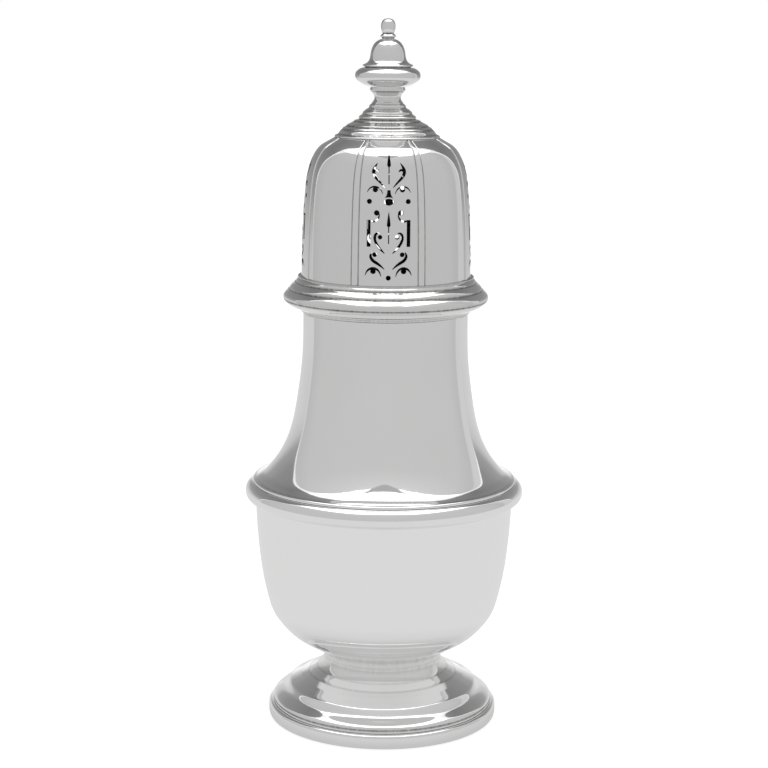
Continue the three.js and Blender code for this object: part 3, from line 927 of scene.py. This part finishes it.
def build_tent():
    """Pale card in front and at the sides, with a darker flap over its top, and darker wings behind it.

    The wings are one card, which is white low down at the very back.
    """
    material, tree, glow, _ = emission("front_card")
    share, height = studio_azimuth(tree)
    level = ramp(tree, share, azimuth_stops(FRONT_ACROSS))
    lift = ramp(tree, remap(tree, height, 0, FRONT_TOP, 0, 1), FRONT_UP)
    product = add_node(tree, "ShaderNodeVectorMath", {0: level, 1: lift}, operation="MULTIPLY").outputs[0]
    tree.links.new(product, glow.inputs["Color"])
    glow.inputs["Strength"].default_value = FRONT_STRENGTH

    def front(height):
        cut = FRONT_EDGES[height]
        return np.linspace(FRONT_LEFT + cut, FRONT_RIGHT - cut, CARD_COLUMNS)

    tent_patch("front_card", front, list(FRONT_EDGES), material)

    material, tree, glow, _ = emission("back_card")
    share, height = studio_azimuth(tree)
    upwards = remap(tree, height, 0, BACK_TOP, 0, 1)
    dark = ramp(tree, upwards, WING_UP)
    gap = ramp(tree, upwards, GAP_UP)
    behind = ramp(tree, share, azimuth_stops(GAP_ACROSS))
    mixed = blend_colour(tree, behind, dark, gap)
    tree.links.new(mixed, glow.inputs["Color"])

    def back(height):
        cut = BACK_EDGES[height]
        return np.linspace(FRONT_RIGHT + cut, FRONT_LEFT + 360 - cut, WING_COLUMNS)

    tent_patch("back_card", back, list(BACK_EDGES), material)

    material, _, glow, _ = emission("card_flap")
    glow.inputs["Color"].default_value = grey(FLAP_LEVEL)

    def flap(height):
        half = FLAP_HALF + FLAP_SPREAD * (height - FLAP_BASE) / (FLAP_TOP - FLAP_BASE)
        return np.linspace(-half, half + FLAP_LEAN, FLAP_COLUMNS)

    tent_patch("card_flap", flap, np.linspace(FLAP_BASE, FLAP_TOP, FLAP_ROWS), material, FLAP_NEARNESS)


def build_floor():
    """Pale floor: white to the camera with a faint contact shadow; in reflections a little darker, with a
    painted contact shadow round the foot.
    """
    material, tree, glow, output = emission("pale_floor")
    share, _ = studio_azimuth(tree)
    level = ramp(tree, share, azimuth_stops(FLOOR_ACROSS))
    where = add_node(tree, "ShaderNodeTexCoord").outputs["Object"]
    reach = add_node(tree, "ShaderNodeVectorMath", {0: where}, operation="LENGTH").outputs["Value"]
    # Painted contact shadow round the foot, seen only in reflections.
    shade = ramp(tree, remap(tree, reach, FLOOR_NEAR, FLOOR_FAR, 0, 1), FLOOR_PAINTED_SHADOW)
    shaded = add_node(tree, "ShaderNodeVectorMath", {0: level, 1: shade}, operation="MULTIPLY").outputs[0]
    tree.links.new(shaded, glow.inputs["Color"])
    seen = add_node(tree, "ShaderNodeEmission", {"Color": grey(1.0), "Strength": FLOOR_GLOW})
    lit = add_node(tree, "ShaderNodeBsdfDiffuse", {"Color": grey(FLOOR_PAINT)})
    shown = add_node(tree, "ShaderNodeAddShader", {0: seen.outputs[0], 1: lit.outputs[0]})
    ray = add_node(tree, "ShaderNodeLightPath").outputs["Is Camera Ray"]
    both = add_node(tree, "ShaderNodeMixShader", {0: ray, 1: glow.outputs[0], 2: shown.outputs[0]})
    tree.links.new(both.outputs[0], output.inputs["Surface"])
    turns = np.linspace(0, 2 * math.pi, FLOOR_SIDES + 1)[:-1]
    rim = [(FLOOR_RADIUS * math.cos(t), FLOOR_RADIUS * math.sin(t), 0) for t in turns]
    mesh = bpy.data.meshes.new("floor")
    mesh.from_pydata(rim, [], [tuple(range(len(rim)))])
    mesh.materials.append(material)
    floor = bpy.data.objects.new("floor", mesh)
    bpy.context.scene.collection.objects.link(floor)


def build_softbox():
    """Overhead light, wider than the tent, as a lamp of even brightness."""
    lamp = bpy.data.lights.new("softbox", "AREA")
    lamp.shape = "RECTANGLE"
    lamp.size = SOFTBOX["width"]
    lamp.size_y = SOFTBOX["depth"]
    lamp.energy = SOFTBOX["brightness"] * math.pi * SOFTBOX["width"] * SOFTBOX["depth"]
    box = bpy.data.objects.new("softbox", lamp)
    box.location = (0, -SOFTBOX["forward"], SOFTBOX["height"])
    box.visible_camera = False
    bpy.context.scene.collection.objects.link(box)


def build_world():
    world = bpy.data.worlds.new("studio")
    world.use_nodes = True
    world.node_tree.nodes["Background"].inputs["Color"].default_value = grey(1.0)
    bpy.context.scene.world = world


def build_camera():
    data = bpy.data.cameras.new("camera")
    data.lens = CAMERA_LENS
    data.sensor_width = CAMERA_SENSOR
    camera = bpy.data.objects.new("camera", data)
    bpy.context.scene.collection.objects.link(camera)
    turn = Matrix.Rotation(math.radians(CAMERA_TURN), 4, "Z")
    stand = Matrix.Translation((CAMERA_ASIDE, -CAMERA_DISTANCE, CAMERA_HEIGHT))
    tilt = Matrix.Rotation(math.radians(90 - CAMERA_PITCH), 4, "X")
    roll = Matrix.Rotation(math.radians(CAMERA_ROLL), 4, "Z")
    camera.matrix_world = turn @ stand @ tilt @ roll
    bpy.context.scene.camera = camera


build_camera()
build_base()
build_cover()
build_world()
build_tent()
build_floor()
build_softbox()
bpy.context.scene.view_settings.view_transform = "Standard"
